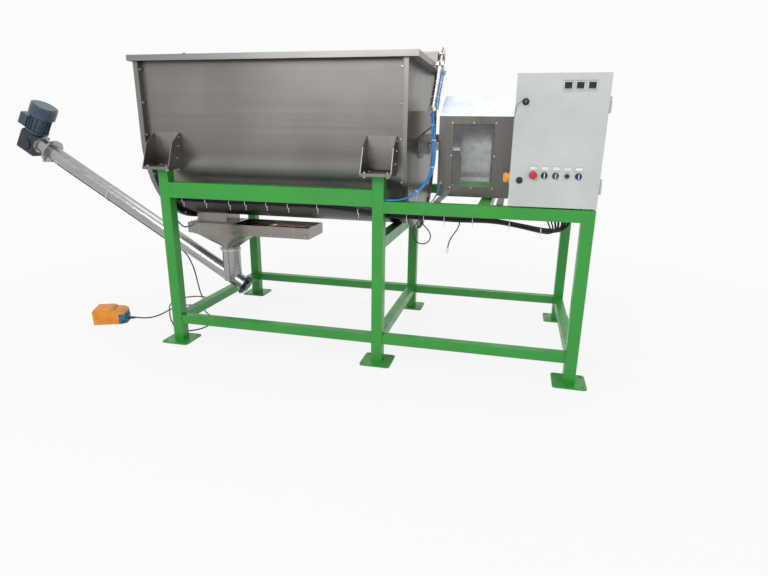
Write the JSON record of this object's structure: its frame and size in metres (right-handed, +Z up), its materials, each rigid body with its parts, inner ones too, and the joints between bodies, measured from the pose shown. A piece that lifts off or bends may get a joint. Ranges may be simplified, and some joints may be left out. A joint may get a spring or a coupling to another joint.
{
  "type": "horizontal powder mixer",
  "caption": "Horizontal ribbon mixer: U-shaped trough with an air-lifted lid on a welded frame, geared drive, control cabinet, slide gate and inclined screw conveyor.",
  "frame": {"origin": "on the floor, at the centre of the rectangle of the four outermost anchor holes", "axes": "+X along the trough towards the drive and the cabinet, +Y away from the operator, +Z up"},
  "size_m": [4.5067, 1.41, 2.0025],
  "materials": {
    "green_paint": "satin",
    "stainless": "satin",
    "bright_steel": "polished",
    "guard_steel": "satin",
    "clear_pane": "clear",
    "gearbox_paint": "satin",
    "motor_paint": "satin",
    "cabinet_paint": "satin",
    "black_plastic": "matte",
    "red_plastic": "gloss",
    "green_plastic": "gloss",
    "blue_plastic": "gloss",
    "yellow_plastic": "matte",
    "orange_plastic": "matte",
    "teal_plastic": "matte",
    "cable_black": "matte",
    "hose_blue": "gloss"
  },
  "bodies": {
    "frame": {"legs": "green_paint", "foot_plates": "green_paint", "leg_cap_plates": "green_paint", "upper_rails": "green_paint", "lower_rails": "green_paint", "trough_shell": "stainless", "end_plate_left": "stainless", "end_plate_right": "stainless", "bolts": "bright_steel", "support_brackets": "stainless", "hinge_brackets": "stainless", "hinge_pins": "bright_steel", "cylinder_brackets": "stainless", "shaft_bearings": "gearbox_paint", "drive_gearbox": "gearbox_paint", "drive_motor": "gearbox_paint", "drive_support": "green_paint", "guard_housing": "guard_steel", "guard_window": "clear_pane", "cover_screws": "bright_steel", "cabinet_body": "cabinet_paint", "main_switch_base": "yellow_plastic", "outlet_duct": "stainless", "gate_frame": "stainless", "gate_cylinder": "bright_steel", "hopper": "stainless", "clamp_ring": "stainless", "conveyor_tube": "stainless", "conveyor_bearing": "motor_paint", "conveyor_gearbox": "motor_paint", "conveyor_motor": "motor_paint", "pedal_guard": "orange_plastic", "pedal_base": "teal_plastic", "pedal_cord": "cable_black", "frame_cables": "cable_black", "air_hoses": "hose_blue", "loose_cables": "cable_black"},
    "lid": {"lid": "stainless", "lifting_beam": "stainless"},
    "lift_barrel_left": {"lift_barrel_left": "bright_steel"},
    "lift_barrel_right": {"lift_barrel_right": "bright_steel"},
    "lift_rod_left": {"lift_rod_left": "bright_steel"},
    "lift_rod_right": {"lift_rod_right": "bright_steel"},
    "rotor": {"mixer_shaft": "stainless", "outer_ribbon": "stainless", "inner_ribbon": "stainless", "ribbon_arms": "stainless"},
    "conveyor_screw": {"conveyor_screw": "stainless"},
    "gate_blade": {"gate_blade": "stainless"},
    "cabinet_door": {"cabinet_door": "cabinet_paint", "panel_meters": "black_plastic"},
    "door_lock_upper": {"door_lock_upper": "black_plastic"},
    "door_lock_lower": {"door_lock_lower": "black_plastic"},
    "emergency_stop": {"emergency_stop": "red_plastic"},
    "selector_left": {"selector_left": "green_plastic"},
    "selector_middle": {"selector_middle": "green_plastic"},
    "selector_right": {"selector_right": "blue_plastic"},
    "push_button": {"push_button": "black_plastic"},
    "main_switch_handle": {"main_switch_handle": "red_plastic"},
    "pedal_treadle": {"pedal_treadle": "teal_plastic"}
  },
  "joints": [
    {"name": "lid_swing", "type": "hinge", "parent": "frame", "child": "lid", "pos_m": [0, 0.618, 1.902], "axis": [-1, 0, 0], "range_deg": [0, 40]},
    {"name": "cylinder_left_pivot", "type": "hinge", "parent": "frame", "child": "lift_barrel_left", "pos_m": [-1.565, -0.315, 1.543], "axis": [1, 0, 0], "range_deg": [0, 5]},
    {"name": "cylinder_right_pivot", "type": "hinge", "parent": "frame", "child": "lift_barrel_right", "pos_m": [0.38, -0.315, 1.543], "axis": [1, 0, 0], "range_deg": [0, 5]},
    {"name": "cylinder_left_stroke", "type": "slide", "parent": "lift_barrel_left", "child": "lift_rod_left", "axis": [0, 0.6842, 0.7293], "range_m": [0, 0.35]},
    {"name": "cylinder_right_stroke", "type": "slide", "parent": "lift_barrel_right", "child": "lift_rod_right", "axis": [0, 0.6842, 0.7293], "range_m": [0, 0.35]},
    {"name": "rotor_spin", "type": "hinge", "parent": "frame", "child": "rotor", "pos_m": [0, 0, 1.378], "axis": [1, 0, 0], "continuous": true},
    {"name": "screw_spin", "type": "hinge", "parent": "frame", "child": "conveyor_screw", "pos_m": [-1.129, 0, 0.259], "axis": [-0.8572, 0, 0.515], "continuous": true},
    {"name": "gate_slide", "type": "slide", "parent": "frame", "child": "gate_blade", "axis": [1, 0, 0], "range_m": [0, 0.26]},
    {"name": "door_swing", "type": "hinge", "parent": "frame", "child": "cabinet_door", "pos_m": [1.373, -0.615, 1.4], "axis": [0, 0, 1], "range_deg": [0, 120]},
    {"name": "upper_lock_turn", "type": "hinge", "parent": "cabinet_door", "child": "door_lock_upper", "pos_m": [0.94, -0.635, 1.624], "axis": [0, -1, 0], "range_deg": [0, 90]},
    {"name": "lower_lock_turn", "type": "hinge", "parent": "cabinet_door", "child": "door_lock_lower", "pos_m": [0.94, -0.635, 1.208], "axis": [0, -1, 0], "range_deg": [0, 90]},
    {"name": "emergency_stop_press", "type": "slide", "parent": "cabinet_door", "child": "emergency_stop", "axis": [0, 1, 0], "range_m": [0, 0.005]},
    {"name": "left_selector_turn", "type": "hinge", "parent": "cabinet_door", "child": "selector_left", "pos_m": [1.071, -0.635, 1.238], "axis": [0, 1, 0], "range_deg": [-45, 45]},
    {"name": "middle_selector_turn", "type": "hinge", "parent": "cabinet_door", "child": "selector_middle", "pos_m": [1.131, -0.635, 1.238], "axis": [0, 1, 0], "range_deg": [-45, 45]},
    {"name": "push_button_press", "type": "slide", "parent": "cabinet_door", "child": "push_button", "axis": [0, 1, 0], "range_m": [0, 0.003], "stiffness_N_per_m": 400, "springref_m": -0.003},
    {"name": "right_selector_turn", "type": "hinge", "parent": "cabinet_door", "child": "selector_right", "pos_m": [1.251, -0.635, 1.238], "axis": [0, 1, 0], "range_deg": [-45, 45]},
    {"name": "main_switch_turn", "type": "hinge", "parent": "frame", "child": "main_switch_handle", "pos_m": [0.878, -0.545, 1.215], "axis": [1, 0, 0], "range_deg": [0, 90]},
    {"name": "treadle_press", "type": "hinge", "parent": "frame", "child": "pedal_treadle", "pos_m": [-2.04538, -0.41349, 0.022], "axis": [0.4067, -0.9135, 0], "range_deg": [0, 8], "stiffness_Nm_per_rad": 20, "springref_deg": -5.73}
  ],
  "couplings": [
    {"joint": "cylinder_left_pivot", "follows": "lid_swing", "ratio": 0.115},
    {"joint": "cylinder_right_pivot", "follows": "lid_swing", "ratio": 0.115},
    {"joint": "cylinder_left_stroke", "follows": "lid_swing", "m_per_rad": 0.4985},
    {"joint": "cylinder_right_stroke", "follows": "lid_swing", "m_per_rad": 0.4985}
  ]
}
